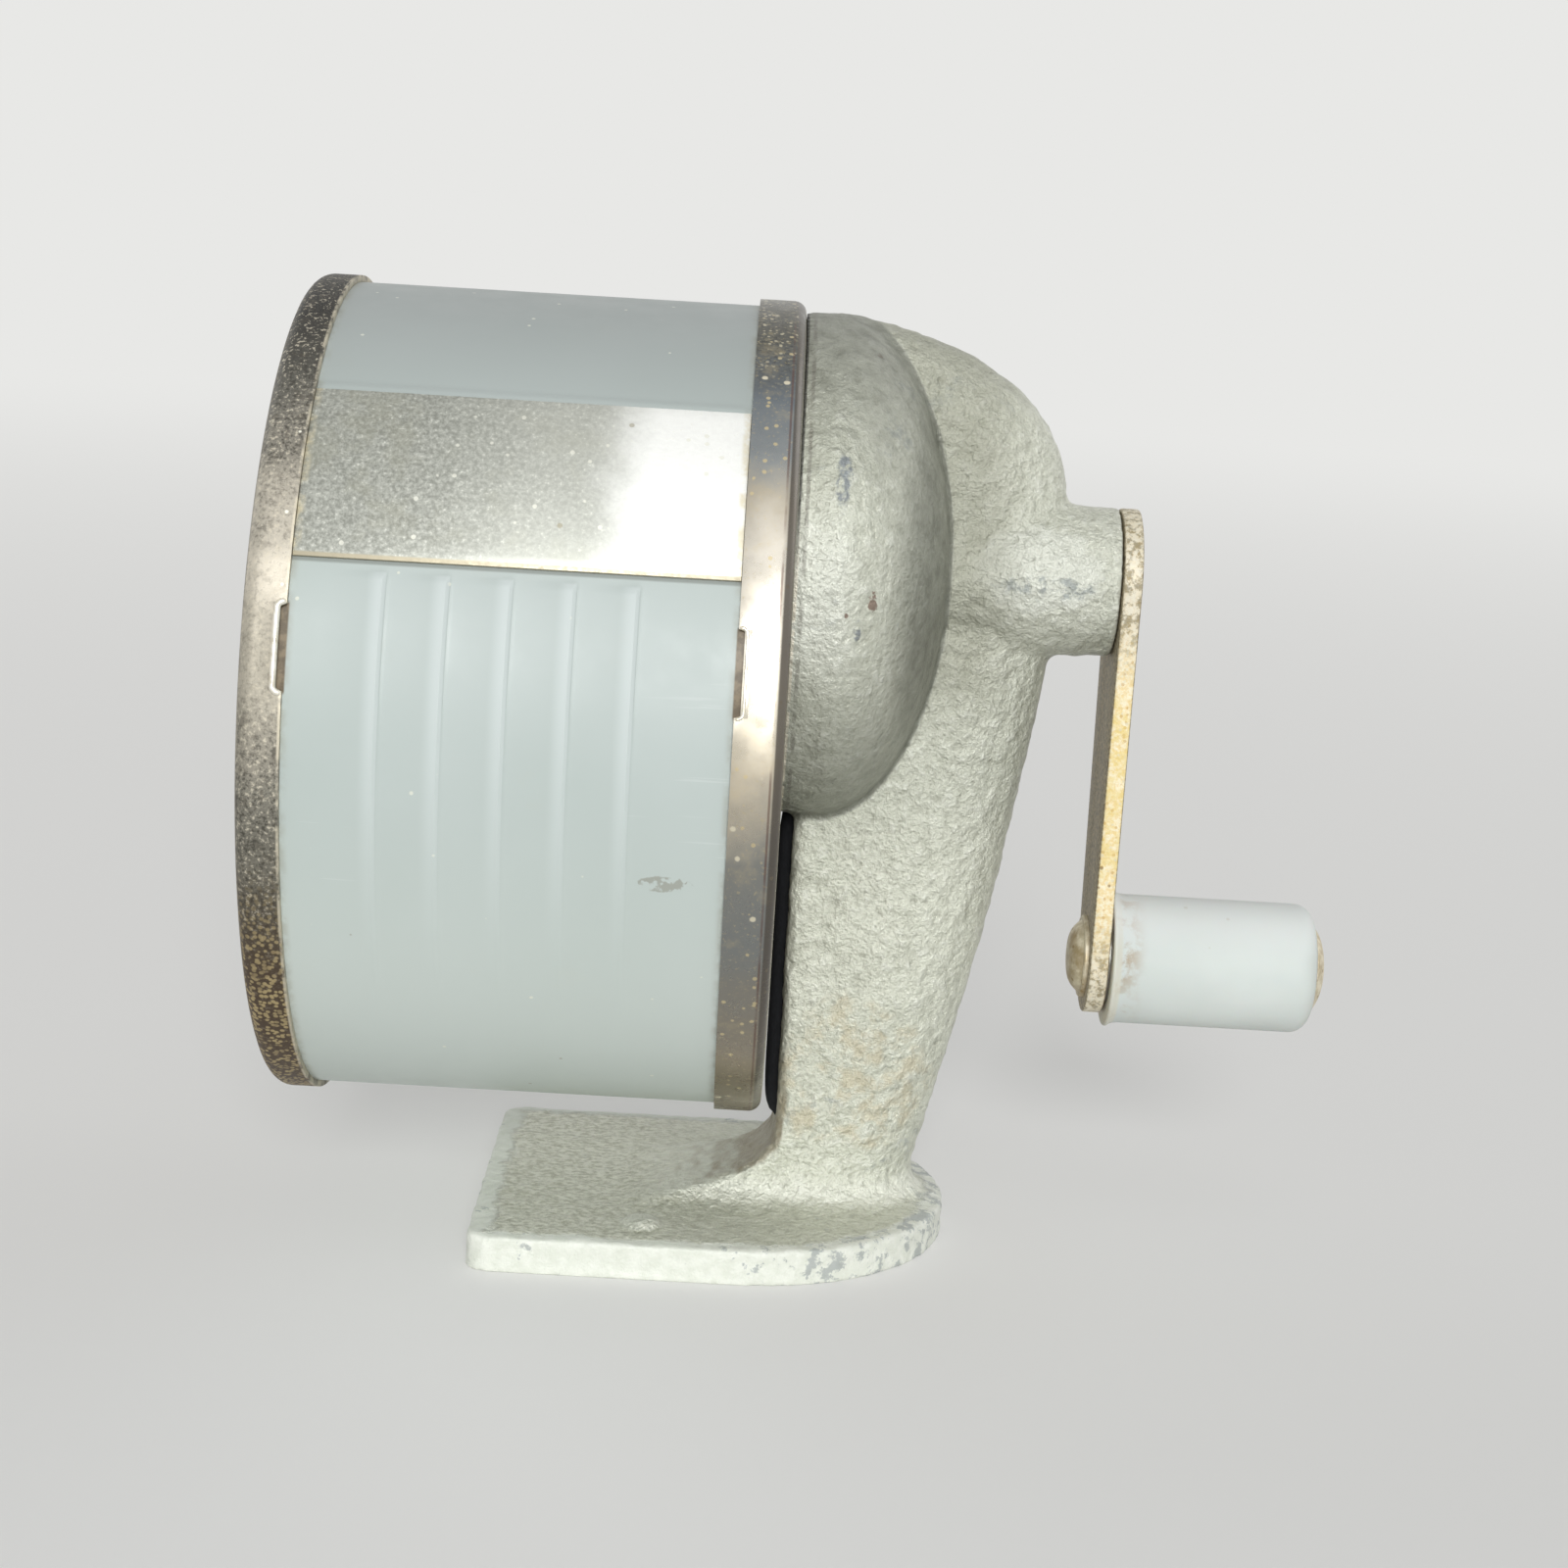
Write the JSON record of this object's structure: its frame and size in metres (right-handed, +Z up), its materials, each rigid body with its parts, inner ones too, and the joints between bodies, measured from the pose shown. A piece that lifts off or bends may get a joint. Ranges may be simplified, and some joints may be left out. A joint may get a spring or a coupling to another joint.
{
  "type": "crank pencil sharpener",
  "caption": "Hand-cranked pencil sharpener: cast stand, round drum that catches shavings, helical cutters in a planetary carrier, size dial and crank.",
  "frame": {"origin": "middle of the base plate's underside", "axes": "+X along the crank axis towards the crank; the pencil enters from -X; +Z up"},
  "size_m": [0.1173, 0.0884, 0.1027],
  "materials": {
    "casting": "silver-grey paint on a rough casting, worn at the base's edges",
    "plated_steel": "dull plated sheet steel",
    "zinc_screw": "zinc plated",
    "gear_steel": "machined, lightly oiled",
    "worn_steel": "plated steel strip, tarnished, cream worn edges",
    "carrier_steel": "die cast, satin",
    "washer_brass": "plain",
    "rivet_steel": "aged plated rivet",
    "knob_plastic": "pale grey, satin gloss, grime at the arm",
    "cutter_steel": "ground tool steel",
    "shell_plastic": "light grey, satin, a little scratched",
    "cap_nickel": "nickel plate, tarnished and pitted",
    "plate_aluminium": "bare, speckled",
    "spring_steel": "spring steel",
    "dial_nickel": "nickel plate, lightly tarnished"
  },
  "bodies": {
    "stand": {"frame_casting": "casting", "lock_plate": "plated_steel", "plate_screws": "zinc_screw", "ring_gear": "gear_steel"},
    "crank": {"crank_shaft": "gear_steel", "crank_arm": "worn_steel", "cutter_carrier": "carrier_steel", "carrier_screw": "zinc_screw", "thrust_washer": "washer_brass", "cutter_pin_1": "gear_steel", "cutter_pin_2": "gear_steel", "cutter_washers": "washer_brass", "knob_spindle": "rivet_steel", "knob_washer": "zinc_screw"},
    "knob": {"knob": "knob_plastic"},
    "cutter_1": {"cutter_1": "cutter_steel"},
    "cutter_2": {"cutter_2": "cutter_steel"},
    "drum": {"drum_shell": "shell_plastic", "front_cap": "cap_nickel", "rear_cap": "cap_nickel", "nameplate": "plate_aluminium", "dial_rivet": "rivet_steel", "dial_washer": "zinc_screw", "detent_spring": "spring_steel"},
    "dial": {"size_dial": "dial_nickel"}
  },
  "joints": [
    {"name": "crank_turn", "type": "hinge", "parent": "stand", "child": "crank", "pos_m": [0.03, 0, 0.0745], "axis": [1, 0, 0], "continuous": true},
    {"name": "knob_spin", "type": "hinge", "parent": "crank", "child": "knob", "pos_m": [0.053, 0, 0.0324], "axis": [1, 0, 0], "continuous": true},
    {"name": "cutter_1_spin", "type": "hinge", "parent": "crank", "child": "cutter_1", "pos_m": [0.0005, 0, 0.0821], "axis": [0.989, 0, -0.1478], "continuous": true},
    {"name": "cutter_2_spin", "type": "hinge", "parent": "crank", "child": "cutter_2", "pos_m": [0.0005, 0, 0.0669], "axis": [0.989, 0, 0.1478], "continuous": true},
    {"name": "drum_twist", "type": "hinge", "parent": "stand", "child": "drum", "pos_m": [0.0045, 0, 0.0745], "axis": [1, 0, 0], "range_deg": [0, 22]},
    {"name": "dial_turn", "type": "hinge", "parent": "drum", "child": "dial", "pos_m": [-0.0485, 0, 0.0585], "axis": [1, 0, 0], "continuous": true}
  ],
  "couplings": [
    {"joint": "cutter_1_spin", "follows": "crank_turn", "ratio": -2.2667},
    {"joint": "cutter_2_spin", "follows": "crank_turn", "ratio": -2.2667}
  ]
}
